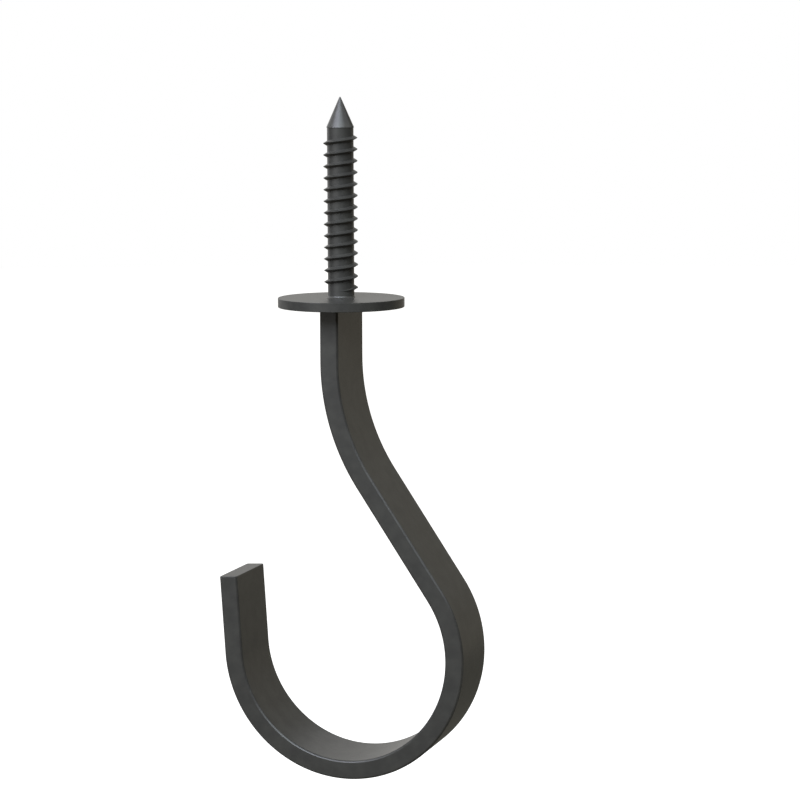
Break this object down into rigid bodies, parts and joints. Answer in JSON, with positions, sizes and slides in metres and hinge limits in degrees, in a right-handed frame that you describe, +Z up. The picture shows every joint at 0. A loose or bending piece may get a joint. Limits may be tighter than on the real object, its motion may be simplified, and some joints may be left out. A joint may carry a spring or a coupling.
{
  "type": "ceiling hook",
  "caption": "Screw-in ceiling hook: a flat bar bent into an open hook under a round flange, with a lag screw on top that is driven into a joist.",
  "frame": {"origin": "on the screw's axis in the ceiling plane, which is the flange's top face", "axes": "+Z up along the screw into the ceiling; the bar is bent in the XZ plane, its belly towards +X and its open end towards -X; the bar's width lies along Y"},
  "size_m": [0.0623, 0.0302, 0.1634],
  "materials": {
    "black_powder_coat": "satin charcoal-black powder coat over steel"
  },
  "bodies": {
    "root": {"hook_bar": "black_powder_coat", "ceiling_flange": "black_powder_coat", "lag_screw": "black_powder_coat", "weld_bead": "black_powder_coat"}
  },
  "joints": []
}
